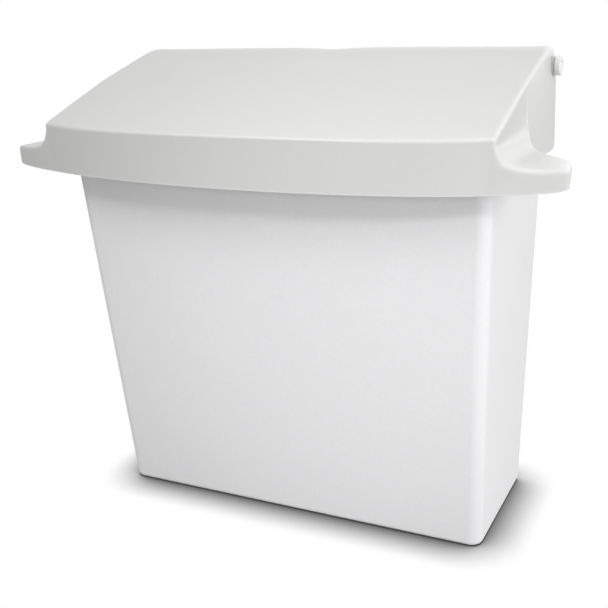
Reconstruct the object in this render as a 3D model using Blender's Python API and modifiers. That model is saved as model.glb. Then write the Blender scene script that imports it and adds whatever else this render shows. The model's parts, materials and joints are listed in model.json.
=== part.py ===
"""Wall-mount lidded waste receptacle: body, hinged hood, lift-out liner, hinge pins and small fittings.

Metres, +Z up, the front faces -Y. Inside the script y = 0 is the back of the body, so every y in front
of it is negative; one empty then moves the whole bin so that its origin is the bottom centre of its box.
"""
import math

import bmesh
import bpy
from mathutils import Matrix, Vector

NAME = "waste_receptacle"
GAP = 0.0003                     # clearance between touching pieces
MERGE = 0.00005                  # distance under which modifiers merge points

# body
BACK_Y = 0.06665                 # where the back of the body stands in the part's own frame
BASE_HALF_X, BASE_FRONT = 0.1175, -0.0903
REF_Z, REF_HALF_X, REF_FRONT = 0.220, 0.1246, -0.1111
BODY_TOP = 0.2665
WALL = 0.0028
FRONT_R, BACK_R, FLOOR_R = 0.0070, 0.0034, 0.0030
BACK_WALL_TOP = 0.248
RIM_DROP = 0.0045                # the body's rim lies this far under the lid's ceiling

# hood
LID_T = 0.0026
EAR_HALF = 0.1617                # half width over the ears
EAR_FRONT, BOW, BOW_POWER = -0.1150, 0.0192, 3.4
SIDE_HALF, SIDE_HALF_BACK = 0.1307, 0.1309            # half width of the hood's top, front and back
EAR_TOP, COVE_TOP = 0.2223, 0.2318
CREST_Z, BACK_Z = 0.2373, 0.2700 # top surface at its front corners and over the hinge
ARCH, CROWN_FRONT, CROWN_BACK = 0.0023, 0.0014, 0.0008
DIP, DIP_HALF = 0.0013, 0.026    # shallow dip in the middle of the back edge
PANEL_STEP = 0.0011              # the rear side panel stands this proud of the front one
DRAFT = 0.033
RIM_R = 0.0033
BACK_FULLNESS = 0.0012           # the cage stands this far over the surface where the roll starts

# hinge
AXIS_Y, AXIS_Z = -0.0115, 0.2597
ROLL_R = 0.0120                  # radius of the cage of the hood's rolled back edge about the axis
ROLL_HALF = 0.118
BOSS_R = 0.0052
NECK_R, NECK_ANGLE = 0.0108, -66 # where the body's hinge boss rises from its back wall, about the axis
PIN_R, PIN_HOLE_R, PIN_HEAD_R, PIN_HEAD_T = 0.0025, 0.0028, 0.0053, 0.0031
PIN_HEAD_X = 0.1322              # inner face of the pin's head, against the hood's side
PIN_END = 0.1190
LID_BOSS_X = 0.1263              # inner end of the boss that thickens the hood's side round the pin
LID_BOSS_OUTER_X = 0.1290
COLLAR_X, COLLAR_R = 0.1319, 0.0050                    # the raised collar between the hood and the pin's head

# bumpers
BUMPER_X, BUMPER_Y, BUMPER_TOP = 0.1120, -0.1110, 0.2382
SEAT_R, SEAT_H = 0.0045, 0.0023   # the bumper's seat, which ends inside the hood's thickness

# liner
LINER_T = 0.0016
LINER_BASE_Z, LINER_TOP = 0.0031, 0.2240

# mounting
HOLE_X, HOLE_ZS, HOLE_R = 0.095, (0.045, 0.205), 0.0024
TAPE_HALF, TAPE_H, TAPE_ZS = 0.075, 0.022, {"upper": 0.190, "lower": 0.060}
RECESS = 0.0012

model = bpy.data.collections.new(NAME)
cutters = bpy.data.collections.new("cutters")


# ---------------------------------------------------------------- helpers
def clear_scene():
    for obj in list(bpy.data.objects):
        bpy.data.objects.remove(obj, do_unlink=True)
    bpy.context.scene.collection.children.link(model)
    bpy.context.scene.collection.children.link(cutters)


def material(name, colour, roughness, metallic=0.0):
    mat = bpy.data.materials.new(name)
    mat.use_nodes = True
    bsdf = mat.node_tree.nodes["Principled BSDF"]
    bsdf.inputs["Base Color"].default_value = (*colour, 1.0)
    bsdf.inputs["Roughness"].default_value = roughness
    bsdf.inputs["Metallic"].default_value = metallic
    mat.diffuse_color = (*colour, 1.0)
    return mat


def face_outwards(bm):
    """Points the faces of a closed or open-topped shape away from its inside."""
    bmesh.ops.recalc_face_normals(bm, faces=bm.faces)
    lowest = min(bm.faces, key=lambda f: f.calc_center_median().z)
    if lowest.normal.z > 0.5:
        bmesh.ops.reverse_faces(bm, faces=bm.faces)


def add_object(name, bm, mat, collection=None):
    mesh = bpy.data.meshes.new(name)
    face_outwards(bm)
    bm.to_mesh(mesh)
    bm.free()
    obj = bpy.data.objects.new(name, mesh)
    (collection or model).objects.link(obj)
    if mat:
        mesh.materials.append(mat)
    return obj


def smooth(obj, angle=40):
    obj.data.shade_smooth()
    obj.data.set_sharp_from_angle(angle=math.radians(angle))


def as_cutter(obj):
    for collection in list(obj.users_collection):
        collection.objects.unlink(obj)
    cutters.objects.link(obj)
    obj.hide_render = True
    obj.display_type = "WIRE"
    return obj


def boolean(obj, other, operation):
    mod = obj.modifiers.new(f"{operation.lower()}_{other.name}", "BOOLEAN")
    mod.operation = operation
    mod.solver = "EXACT"
    mod.object = other


def box(name, low, high, mat=None, collection=None):
    bm = bmesh.new()
    bmesh.ops.create_cube(bm, size=1.0)
    low, high = Vector(low), Vector(high)
    for v in bm.verts:
        v.co = Vector(((v.co[i] + 0.5) * (high[i] - low[i]) + low[i]) for i in range(3))
    return add_object(name, bm, mat, collection)


def cylinder(name, start, end, radius, segments=32, mat=None, collection=None):
    """A closed cylinder from one point to another, along X, Y or Z."""
    start, end = Vector(start), Vector(end)
    bm = bmesh.new()
    bmesh.ops.create_cone(bm, cap_ends=True, segments=segments, radius1=radius, radius2=radius,
                          depth=(end - start).length)
    turn = Vector((0, 0, 1)).rotation_difference(end - start).to_matrix().to_4x4()
    bmesh.ops.transform(bm, matrix=Matrix.Translation((start + end) / 2) @ turn, verts=bm.verts)
    return add_object(name, bm, mat, collection)


def plate(name, outline, thickness, place, mat=None, collection=None):
    """A flat outline in local XY, thickened about its plane, turned into a welded mesh and placed."""
    curve = bpy.data.curves.new(name, "CURVE")
    curve.dimensions = "2D"
    curve.fill_mode = "BOTH"
    curve.extrude = thickness / 2
    spline = curve.splines.new("POLY")
    spline.points.add(len(outline) - 1)
    for point, (x, y) in zip(spline.points, outline):
        point.co = (x, y, 0.0, 1.0)
    spline.use_cyclic_u = True
    holder = bpy.data.objects.new(name + "_curve", curve)
    bpy.context.scene.collection.objects.link(holder)
    depsgraph = bpy.context.evaluated_depsgraph_get()
    mesh = bpy.data.meshes.new_from_object(holder.evaluated_get(depsgraph))
    bpy.data.objects.remove(holder, do_unlink=True)
    bm = bmesh.new()
    bm.from_mesh(mesh)
    bmesh.ops.remove_doubles(bm, verts=bm.verts, dist=MERGE)
    bmesh.ops.transform(bm, matrix=place, verts=bm.verts)
    return add_object(name, bm, mat, collection)


def turned(name, profile, place, mat, steps=24, ring=False):
    """A profile of (radius, height) points turned about local Z with a Screw modifier.

    It runs from the axis down to the axis, or round a closed loop where ring is True."""
    bm = bmesh.new()
    verts = [bm.verts.new((r, 0.0, h)) for r, h in profile]
    for a, b in zip(verts, verts[1:] + verts[:1] if ring else verts[1:]):
        bm.edges.new((a, b))
    mesh = bpy.data.meshes.new(name)
    bm.to_mesh(mesh)
    bm.free()
    mesh.materials.append(mat)
    obj = bpy.data.objects.new(name, mesh)
    model.objects.link(obj)
    obj.matrix_world = place
    screw = obj.modifiers.new("turn", "SCREW")
    screw.axis = "Z"
    screw.steps = screw.render_steps = steps
    screw.use_merge_vertices = True
    screw.merge_threshold = MERGE
    screw.use_smooth_shade = True
    return obj


def arc(cx, cy, radius, start, end, count):
    """Points on an arc, angles in degrees."""
    angles = [math.radians(start + (end - start) * i / (count - 1)) for i in range(count)]
    return [(cx + radius * math.cos(a), cy + radius * math.sin(a)) for a in angles]


def rounded_rectangle(half_w, half_h, radius, count=5):
    corners = ((1, 1, 0), (-1, 1, 90), (-1, -1, 180), (1, -1, 270))
    points = []
    for sx, sy, start in corners:
        points += arc(sx * (half_w - radius), sy * (half_h - radius), radius, start, start + 90, count)
    return points


# ---------------------------------------------------------------- shared surfaces
def bow(x):
    """y of the hood's front face: a shallow arc in plan."""
    return EAR_FRONT - BOW * (1 - abs(x / EAR_HALF) ** BOW_POWER)


def top_z(x, y):
    """Height of the hood's top surface in front of the hinge: sloped, arched and lightly crowned."""
    front, back = bow(SIDE_HALF), AXIS_Y
    s = (y - front) / (back - front)
    crown = (CROWN_FRONT + (CROWN_BACK - CROWN_FRONT) * s) * (1 - (x / SIDE_HALF) ** 2)
    return CREST_Z + (BACK_Z - CREST_Z) * s + 4 * ARCH * s * (1 - s) + crown - dip(x, y)


def dip(x, y):
    """Depth of the shallow dip that runs out forwards from the middle of the back edge."""
    return DIP * max(0.0, 1 - abs(x) / DIP_HALF) ** 2 * min(max((y + 0.040) / 0.025, 0.0), 1.0)


def on_roll(degrees, radius=ROLL_R):
    """(y, z) at an angle about the hinge axis, 0 degrees towards the back."""
    a = math.radians(degrees)
    return AXIS_Y + radius * math.cos(a), AXIS_Z + radius * math.sin(a)


def skirt_z(x, y):
    """Height of the hood's bottom edge: lowest at the front middle, higher at the ears and the back."""
    t = min(abs(x) / EAR_HALF, 1.0)
    front = 0.2076 + 0.0040 * t * t
    back = 0.2138
    s = min(max((y - bow(x)) / (-0.060 - bow(x)), 0.0), 1.0)
    return front + (back - front) * s * s * (3 - 2 * s)


def rim_z(y):
    """Height of the body's sloping rim, a fixed drop under the hood's ceiling."""
    front_y, back_y = -0.112, -0.024
    front, back = (top_z(SIDE_HALF, v) - LID_T - RIM_DROP for v in (front_y, back_y))
    return front + (back - front) * (y - front_y) / (back_y - front_y)


# ---------------------------------------------------------------- body
def open_box(name, half_x, front, back, z_low, z_high, mat, front_r, back_r, floor_r, segments):
    """An open-topped tapered tray; half_x and front are (at z_low, at z_high)."""
    bm = bmesh.new()
    bmesh.ops.create_cube(bm, size=2.0)
    for v in bm.verts:
        level = 1 if v.co.z > 0 else 0
        x = math.copysign(half_x[level], v.co.x)
        y = back if v.co.y > 0 else front[level]
        v.co = (x, y, z_high if level else z_low)
    bm.faces.ensure_lookup_table()
    top = max(bm.faces, key=lambda f: f.calc_center_median().z)
    bmesh.ops.delete(bm, geom=[top], context="FACES_ONLY")
    for radius, at_back in ((front_r, False), (back_r, True)):
        uprights = [e for e in bm.edges if abs(e.verts[0].co.z - e.verts[1].co.z) > 0.01
                    and e.is_manifold and (min(v.co.y for v in e.verts) > back - 1e-6) == at_back
                    and e.calc_face_angle() > math.radians(60)]
        bmesh.ops.bevel(bm, geom=uprights, offset=radius, segments=segments, profile=0.5, affect="EDGES")
    floor_edges = [e for e in bm.edges if all(abs(v.co.z - z_low) < 1e-6 for v in e.verts)]
    bmesh.ops.bevel(bm, geom=floor_edges, offset=floor_r, segments=2, profile=0.5, affect="EDGES")
    return add_object(name, bm, mat)


def rim_cutter():
    """Everything above the body's rim, seen from the side, with the hinge boss left standing."""
    outline = [(0.006, BACK_WALL_TOP), (-0.0053, BACK_WALL_TOP), on_roll(NECK_ANGLE, NECK_R)]
    outline += arc(AXIS_Y, AXIS_Z, BOSS_R, NECK_ANGLE, 160, 15)
    outline += [(-0.024, rim_z(-0.024)), (-0.140, rim_z(-0.140)), (-0.140, 0.290), (0.006, 0.290)]
    place = Matrix(((0, 0, 1, 0), (1, 0, 0, 0), (0, 1, 0, 0), (0, 0, 0, 1)))
    return as_cutter(plate("rim_cutter", outline, 0.30, place))


def make_body(mat):
    slope = (REF_HALF_X - BASE_HALF_X) / REF_Z
    lean = (REF_FRONT - BASE_FRONT) / REF_Z
    body = open_box("body", (BASE_HALF_X, BASE_HALF_X + slope * BODY_TOP),
                    (BASE_FRONT, BASE_FRONT + lean * BODY_TOP), 0.0, 0.0, BODY_TOP, mat,
                    FRONT_R, BACK_R, FLOOR_R, 4)
    shell = body.modifiers.new("shell", "SOLIDIFY")
    shell.thickness = WALL
    shell.offset = -1
    shell.use_even_offset = True
    boolean(body, rim_cutter(), "DIFFERENCE")
    side_x = BASE_HALF_X + slope * AXIS_Z
    for side in (-1, 1):
        name = "left" if side < 0 else "right"
        inner = side * (side_x - WALL - 0.002)
        boss = cylinder(f"boss_{name}", (inner, AXIS_Y, AXIS_Z), (side * (side_x - 0.001), AXIS_Y, AXIS_Z),
                        BOSS_R - 0.0003, 24)
        boolean(body, as_cutter(boss), "UNION")
        hole = cylinder(f"body_pin_hole_{name}", (side * 0.11, AXIS_Y, AXIS_Z),
                        (side * 0.135, AXIS_Y, AXIS_Z), PIN_HOLE_R, 20)
        boolean(body, as_cutter(hole), "DIFFERENCE")
    for label, z in TAPE_ZS.items():
        recess = box(f"tape_recess_{label}", (-TAPE_HALF - 0.001, -RECESS, z - TAPE_H / 2 - 0.001),
                     (TAPE_HALF + 0.001, 0.002, z + TAPE_H / 2 + 0.001))
        boolean(body, as_cutter(recess), "DIFFERENCE")
    for z in HOLE_ZS:
        for side in (-1, 1):
            hole = cylinder(f"screw_hole_{side}_{z}", (side * HOLE_X, -0.01, z), (side * HOLE_X, 0.01, z),
                            HOLE_R, 16)
            boolean(body, as_cutter(hole), "DIFFERENCE")
    return body


# ---------------------------------------------------------------- liner
def make_liner(mat):
    base_half, base_front = 0.1105, -0.0842
    top_half, top_front, back = 0.1140, -0.1040, -0.0068
    liner = open_box("liner", (base_half, top_half), (base_front, top_front), back, LINER_BASE_Z,
                     LINER_TOP, mat, 0.006, 0.004, 0.003, 3)
    bm = bmesh.new()
    bm.from_mesh(liner.data)
    lip = [e for e in bm.edges if e.is_boundary]
    centre = Vector((0, (top_front + back) / 2, 0))
    for outward, down in ((0.0018, 0.0), (0.0, -0.0050)):
        grown = bmesh.ops.extrude_edge_only(bm, edges=lip)
        lip = [g for g in grown["geom"] if isinstance(g, bmesh.types.BMEdge)]
        for v in {v for e in lip for v in e.verts}:
            away = Vector((v.co.x, v.co.y - centre.y, 0))
            v.co += Vector((math.copysign(outward, away.x), math.copysign(outward, away.y), down))
        lip = [e for e in lip if e.is_boundary]
    face_outwards(bm)
    bm.to_mesh(liner.data)
    bm.free()
    shell = liner.modifiers.new("shell", "SOLIDIFY")
    shell.thickness = LINER_T
    shell.offset = -1
    for side in (-1, 1):
        name = "left" if side < 0 else "right"
        outline = [(-0.018, -0.003), (0.018, -0.003)] + arc(0.012, 0.006, 0.006, 0, 90, 5)
        outline += arc(-0.012, 0.006, 0.006, 90, 180, 5)
        x = side * (top_half - 0.0009)
        place = Matrix(((0, 0, 1, x), (1, 0, 0, -0.060), (0, 1, 0, LINER_TOP), (0, 0, 0, 1)))
        boolean(liner, as_cutter(plate(f"lift_tab_{name}", outline, 0.0018, place)), "UNION")
    return liner


# ---------------------------------------------------------------- hood
COLUMNS = (0.0, 0.010, 0.026, 0.060, 0.095, ROLL_HALF)   # top panel; then rim, side and three on the ear
ROLL_COL, RIM_COL, SIDE_COL, EAR_COLS = 5, 6, 7, (8, 9, 10)
LEVELS = 7                                           # bottom, ear edge, ear top, cove, panel, rim, top
EAR_BACK_ROW, LAST_ROW = 3, 8
LEDGE = (0.0003, 0.0010, 0.0022, 0.0022)             # reach of the ledge over each row of the cove


def rim_size(row):
    """Inward and downward reach of the rounding along the hood's upper edges, larger at the back corners."""
    return {LAST_ROW: (0.0058, 0.0090), LAST_ROW - 1: (0.0048, 0.0075)}.get(row, (RIM_R, RIM_R))


def side_x(y, z, step):
    """x of the hood's side wall: it narrows a little to the back and the top, and may stand on a step."""
    s = (y - EAR_FRONT) / (AXIS_Y - EAR_FRONT)
    return SIDE_HALF + (SIDE_HALF_BACK - SIDE_HALF) * s - 0.0010 + DRAFT * (0.2665 - z) * 0.6 + step


def step_share(row, level):
    """How much of the side panel's step a cage point has: the fold leans backwards up to the rim."""
    if row <= EAR_BACK_ROW or level >= LEVELS - 2:
        return 0.0
    return {EAR_BACK_ROW + 1: 0.0, EAR_BACK_ROW + 2: 0.2, EAR_BACK_ROW + 3: 0.6}.get(row, 1.0) if level == 4 else 1.0


def ear_x(column, row):
    """x of the ear's columns; its end leans inwards to the back, square to the bowed front."""
    tip = EAR_HALF + 0.0012 - 0.0052 * row / EAR_BACK_ROW
    return {EAR_COLS[0]: 0.1440, EAR_COLS[1]: tip - 0.0048, EAR_COLS[2]: tip}[column]


def ear_back(x):
    """y of the ear's swept back edge."""
    return -0.0690 - 0.76 * max(0.0, x - SIDE_HALF)


def row_y(row, x):
    """y of a row of the cage at a column: the rows turn from the bowed front to straight lines."""
    front, back = bow(x), ear_back(x)
    inner = abs(x) < ROLL_HALF + 0.001
    middle = (-0.0985, -0.0700) if inner else (back - 0.0035, back)
    return (front, front + 0.0033, middle[0], middle[1], -0.0685 if not inner else -0.0560,
            -0.0645 if not inner else -0.0440, -0.0310, -0.0150)[row]


def lid_point(column, row, level):
    """Position of a cage point of the hood, for x >= 0."""
    ear = column > SIDE_COL
    if ear:
        x = ear_x(column, row)
        y = row_y(row, x) + (0.0028 if row < 2 and column == EAR_COLS[2] else 0.0)
        z = (skirt_z(x, y), EAR_TOP - 0.0032, EAR_TOP + 0.0006 * row / EAR_BACK_ROW)[level]
        if column == EAR_COLS[2] and level != 1:
            x, z = x - 0.0008, z + (0.0013 if level == 0 else -0.0009)
        return x, y, z
    x = COLUMNS[column] if column < RIM_COL else SIDE_HALF
    if row > LAST_ROW:
        y, z = on_roll({9: 5, 10: -48}[row])
        return x, y, z
    if row == LAST_ROW:
        y, z = on_roll(58)
        z -= dip(x, y)
    else:
        y = row_y(row, x)
        z = top_z(min(x, SIDE_HALF), y) + (BACK_FULLNESS if row == LAST_ROW - 1 else 0.0)
    rim_in, rim_down = rim_size(row)
    top = z
    if column == RIM_COL:
        x = side_x(y, top, 0.0) - rim_in
    if level < LEVELS - 1:
        bottom = skirt_z(x, y)
        cove = COVE_TOP if row <= EAR_BACK_ROW else 0.236
        rim_low = top - rim_down
        panel = max(rim_low - 0.0025, cove + 0.0010) if row > EAR_BACK_ROW or row < 2 else cove + 0.0014
        z = (bottom, EAR_TOP - 0.0032, EAR_TOP, cove, panel, max(rim_low, panel + 0.0010))[level]
    if column == SIDE_COL:
        x = side_x(y, z, PANEL_STEP * step_share(row, level))
        if row <= EAR_BACK_ROW and level == 2:
            x, z = x + 0.0030, z + 0.0026
        if row <= EAR_BACK_ROW and level == 3:
            x += LEDGE[row]
    return x, y, z


def lid_faces():
    """Faces of the hood's skin as four (column, row, level) corners: open below and at the back."""
    top = LEVELS - 1
    faces = []

    def quad(*corners):
        faces.append(corners)

    for a in range(SIDE_COL):
        for b in range(LAST_ROW if a >= ROLL_COL else LAST_ROW + 2):
            quad((a, b, top), (a + 1, b, top), (a + 1, b + 1, top), (a, b + 1, top))
        for c in range(top):
            quad((a, 0, c), (a + 1, 0, c), (a + 1, 0, c + 1), (a, 0, c + 1))
    for b in range(LAST_ROW):
        for c in range(top):
            if b >= EAR_BACK_ROW or c >= 2:
                quad((SIDE_COL, b, c), (SIDE_COL, b + 1, c), (SIDE_COL, b + 1, c + 1),
                     (SIDE_COL, b, c + 1))
    for a in range(SIDE_COL, EAR_COLS[-1]):
        for c in range(2):
            quad((a, 0, c), (a + 1, 0, c), (a + 1, 0, c + 1), (a, 0, c + 1))
            quad((a, EAR_BACK_ROW, c), (a, EAR_BACK_ROW, c + 1), (a + 1, EAR_BACK_ROW, c + 1),
                 (a + 1, EAR_BACK_ROW, c))
        for b in range(EAR_BACK_ROW):
            quad((a, b, 2), (a + 1, b, 2), (a + 1, b + 1, 2), (a, b + 1, 2))
    end = EAR_COLS[-1]
    for b in range(EAR_BACK_ROW):
        for c in range(2):
            quad((end, b, c), (end, b + 1, c), (end, b + 1, c + 1), (end, b, c + 1))
    return faces


def make_lid(mat):
    bm = bmesh.new()
    points = {}
    for corners in lid_faces():
        for key in corners:
            if key not in points:
                points[key] = bm.verts.new(lid_point(*key))
        bm.faces.new([points[key] for key in corners])
    bmesh.ops.recalc_face_normals(bm, faces=bm.faces)
    mesh = bpy.data.meshes.new("lid")
    bm.to_mesh(mesh)
    bm.free()
    mesh.materials.append(mat)
    lid = bpy.data.objects.new("lid", mesh)
    model.objects.link(lid)
    mirror = lid.modifiers.new("both_halves", "MIRROR")
    mirror.use_clip = True
    mirror.merge_threshold = MERGE
    soft = lid.modifiers.new("soft_form", "SUBSURF")
    soft.levels = soft.render_levels = 1
    shell = lid.modifiers.new("shell", "SOLIDIFY")
    shell.thickness = LID_T
    shell.offset = -1
    for side in (-1, 1):
        name = "left" if side < 0 else "right"
        pad_x = side * BUMPER_X
        pad = cylinder(f"bumper_boss_{name}", (pad_x, BUMPER_Y, BUMPER_TOP),
                       (pad_x, BUMPER_Y, BUMPER_TOP + SEAT_H), SEAT_R, 16)
        boolean(lid, as_cutter(pad), "UNION")
        for place, low_x, high_x, radius in (("inner", LID_BOSS_X, LID_BOSS_OUTER_X, BOSS_R),
                                             ("outer", LID_BOSS_OUTER_X, COLLAR_X, COLLAR_R)):
            boss = cylinder(f"lid_boss_{place}_{name}", (side * low_x, AXIS_Y, AXIS_Z),
                            (side * high_x, AXIS_Y, AXIS_Z), radius, 20)
            boolean(lid, as_cutter(boss), "UNION")
        hole = cylinder(f"lid_pin_hole_{name}", (side * 0.120, AXIS_Y, AXIS_Z),
                        (side * 0.140, AXIS_Y, AXIS_Z), PIN_HOLE_R, 20)
        boolean(lid, as_cutter(hole), "DIFFERENCE")
    return lid


# ---------------------------------------------------------------- small pieces
def make_hinge_pin(side, mat):
    """Round head with a shallow dimple outside, plain shank through lid and body, chamfered end."""
    head, end = PIN_HEAD_X + PIN_HEAD_T, PIN_END
    profile = [(0.0, head - 0.0008), (0.0022, head - 0.0008), (0.0028, head), (PIN_HEAD_R - 0.0007, head),
               (PIN_HEAD_R - 0.0002, head - 0.0003), (PIN_HEAD_R, head - 0.0008), (PIN_HEAD_R, PIN_HEAD_X),
               (PIN_R, PIN_HEAD_X), (PIN_R, end + 0.0008), (PIN_R - 0.0007, end), (0.0, end)]
    place = Matrix(((0, 0, side, 0), (0, side, 0, AXIS_Y), (-1, 0, 0, AXIS_Z), (0, 0, 0, 1)))
    name = "hinge_pin_left" if side < 0 else "hinge_pin_right"
    return turned(name, profile, place, mat)


def make_hinge_clip(side, mat):
    """Push-on retaining washer, dished, on the inner end of a hinge pin."""
    inner, outer, z, t = PIN_R + GAP, 0.0050, 0.1196, 0.0006
    profile = [(outer, z + t), (outer, z), (outer - 0.001, z - 0.0002), (inner, z - 0.0002),
               (inner, z + t - 0.0002), (outer - 0.001, z + t - 0.0002)]
    place = Matrix(((0, 0, side, 0), (0, side, 0, AXIS_Y), (-1, 0, 0, AXIS_Z), (0, 0, 0, 1)))
    name = "hinge_clip_left" if side < 0 else "hinge_clip_right"
    return turned(name, profile, place, mat, ring=True)


def make_bumper(side, mat):
    """Soft domed pad under a front corner of the hood, its crown just clear of the body's rim."""
    top, low, r = BUMPER_TOP - GAP, rim_z(BUMPER_Y) + 0.0007, 0.0042
    profile = [(0.0, top), (r, top), (r, low + 0.0008), (r - 0.0004, low + 0.0003), (r - 0.0010, low),
               (0.0, low)]
    name = "lid_bumper_left" if side < 0 else "lid_bumper_right"
    return turned(name, profile, Matrix.Translation((side * BUMPER_X, BUMPER_Y, 0)), mat, 20)


def make_tapes(foam, paper):
    """Foam mounting strips in the back's two recesses, each with a release film and its pull tab."""
    upright = Matrix(((1, 0, 0, 0), (0, 0, -1, 0), (0, 1, 0, 0), (0, 0, 0, 1)))
    foam_t, film_t = 0.0011, 0.0004
    foam_y = -RECESS + GAP + foam_t / 2
    film_y = -RECESS + GAP + foam_t + GAP + film_t / 2
    pieces = []
    for label, z in TAPE_ZS.items():
        strip = rounded_rectangle(TAPE_HALF, TAPE_H / 2, 0.002, 3)
        pieces.append(plate(f"tape_{label}", strip, foam_t, Matrix.Translation((0, foam_y, z)) @ upright,
                            foam))
        film = [(TAPE_HALF, -TAPE_H / 2), (TAPE_HALF, -0.006)]
        film += arc(TAPE_HALF + 0.010, 0.0, 0.006, -90, 90, 7)
        film += [(TAPE_HALF, 0.006), (TAPE_HALF, TAPE_H / 2), (-TAPE_HALF, TAPE_H / 2),
                 (-TAPE_HALF, -TAPE_H / 2)]
        pieces.append(plate(f"tape_film_{label}", film, film_t,
                            Matrix.Translation((0, film_y, z)) @ upright, paper))
    return pieces


# ---------------------------------------------------------------- assembly
def main():
    clear_scene()
    white = material("white_abs", (0.80, 0.80, 0.81), 0.35)
    lid_white = material("white_abs_lid", (0.78, 0.78, 0.77), 0.35)
    liner_white = material("liner_polypropylene", (0.72, 0.73, 0.73), 0.45)
    nylon = material("natural_nylon", (0.76, 0.76, 0.75), 0.40)
    steel = material("spring_steel", (0.55, 0.55, 0.56), 0.30, 1.0)
    rubber = material("grey_rubber", (0.25, 0.25, 0.26), 0.80)
    foam = material("white_foam", (0.85, 0.85, 0.84), 0.90)
    paper = material("waxed_paper", (0.80, 0.70, 0.38), 0.60)

    root = bpy.data.objects.new("back_plane", None)
    root.location = (0, BACK_Y, 0)
    model.objects.link(root)
    hinge = bpy.data.objects.new("lid_hinge_axis", None)
    hinge.location = (0, AXIS_Y, AXIS_Z)
    hinge.parent = root
    model.objects.link(hinge)

    body, liner, lid = make_body(white), make_liner(liner_white), make_lid(lid_white)
    fixed = [body, liner] + make_tapes(foam, paper)
    turning = [lid]
    for side in (-1, 1):
        fixed += [make_hinge_pin(side, nylon), make_hinge_clip(side, steel)]
        turning.append(make_bumper(side, rubber))
    for obj in (body, liner):
        smooth(obj)
    for obj in list(cutters.objects) + fixed:
        obj.parent = root
    for obj in turning:
        obj.parent = hinge
        obj.matrix_parent_inverse = Matrix.Translation((0, -AXIS_Y, -AXIS_Z))
    for obj in cutters.objects:
        if obj.name.startswith(("bumper_boss", "lid_boss", "lid_pin_hole")):
            obj.parent = hinge
            obj.matrix_parent_inverse = Matrix.Translation((0, -AXIS_Y, -AXIS_Z))


main()
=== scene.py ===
"""Looks of the wall-mount waste receptacle: fine moulded shells, small fittings and a studio, built round
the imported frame.

Metres, +Z up, the front faces -Y. The shapes are worked out with y = 0 at the back of the body, as the
design has them, and PLACE moves every finished mesh to where the frame's body stands.
"""
import json
import math

import bmesh
import bpy
from mathutils import Matrix, Vector


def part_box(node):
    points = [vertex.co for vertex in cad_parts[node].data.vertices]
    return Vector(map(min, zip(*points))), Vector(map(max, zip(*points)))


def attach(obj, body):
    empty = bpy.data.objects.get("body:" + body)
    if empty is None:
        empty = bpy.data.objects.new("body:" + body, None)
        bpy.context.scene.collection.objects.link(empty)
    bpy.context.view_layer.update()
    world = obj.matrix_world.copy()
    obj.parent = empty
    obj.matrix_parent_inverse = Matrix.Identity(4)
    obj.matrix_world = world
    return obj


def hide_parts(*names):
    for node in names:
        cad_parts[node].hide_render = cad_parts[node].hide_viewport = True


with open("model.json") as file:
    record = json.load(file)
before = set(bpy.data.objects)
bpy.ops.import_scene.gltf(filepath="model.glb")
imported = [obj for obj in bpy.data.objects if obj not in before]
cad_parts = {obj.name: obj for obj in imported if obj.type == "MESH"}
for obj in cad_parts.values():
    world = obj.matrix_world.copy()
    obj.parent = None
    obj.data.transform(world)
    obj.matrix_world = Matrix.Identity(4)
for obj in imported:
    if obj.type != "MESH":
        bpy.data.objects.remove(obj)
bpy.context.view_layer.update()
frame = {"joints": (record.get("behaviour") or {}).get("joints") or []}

BACK_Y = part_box("body")[1].y
PLACE = Matrix.Translation((0, BACK_Y, 0))
HINGE = next(j for j in frame["joints"] if j["name"] == "lid_hinge")
AXIS_Y, AXIS_Z = HINGE["pos_m"][1] - BACK_Y, HINGE["pos_m"][2]
MERGE = 0.00005
TURN_STEPS = 72
SIDES = (("left", -1), ("right", 1))

# body
BASE_HALF_X, BASE_FRONT = 0.1175, -0.0903
REF_Z, REF_HALF_X, REF_FRONT = 0.220, 0.1246, -0.1111
BODY_TOP = 0.2665
WALL = 0.0028
FRONT_R, BACK_R, FLOOR_R = 0.0070, 0.0034, 0.0030
BACK_WALL_TOP = 0.248
RIM_DROP, RIM_FRONT_Y, RIM_BACK_Y = 0.0045, -0.112, -0.024
BOSS_END = 160                   # degrees about the hinge, where the boss gives way to the sloping rim
EDGE_R = 0.0004                  # the small rounding that a mould leaves on a thin wall's edge

# hood
LID_T = 0.0026
EAR_HALF = 0.1617
EAR_FRONT, BOW, BOW_POWER = -0.1150, 0.0192, 3.4
SIDE_HALF, SIDE_HALF_BACK = 0.1307, 0.1309
EAR_TOP, COVE_TOP = 0.2223, 0.2318
CREST_Z, BACK_Z = 0.2373, 0.2700
ARCH, CROWN_FRONT, CROWN_BACK = 0.0023, 0.0014, 0.0008
DIP, DIP_HALF = 0.0013, 0.026
PANEL_STEP = 0.0011
DIP_FRONT_Y, DIP_FADE = -0.040, 0.025    # where the dip starts, and how far it takes to full depth
SKIRT_FRONT_Z, SKIRT_EAR_RISE, SKIRT_BACK_Z, SKIRT_BACK_Y = 0.2076, 0.0040, 0.2138, -0.060
WORN_AND_HIGHLIT_RADIUS = 0.0024             # outward edges rounded by this or less get the full rubbed polish and painted highlight, others less
SIDE_INSET, DRAFT, DRAFT_SHARE = 0.0010, 0.033, 0.6
RIM_R = 0.0033
BACK_FULLNESS = 0.0012

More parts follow.
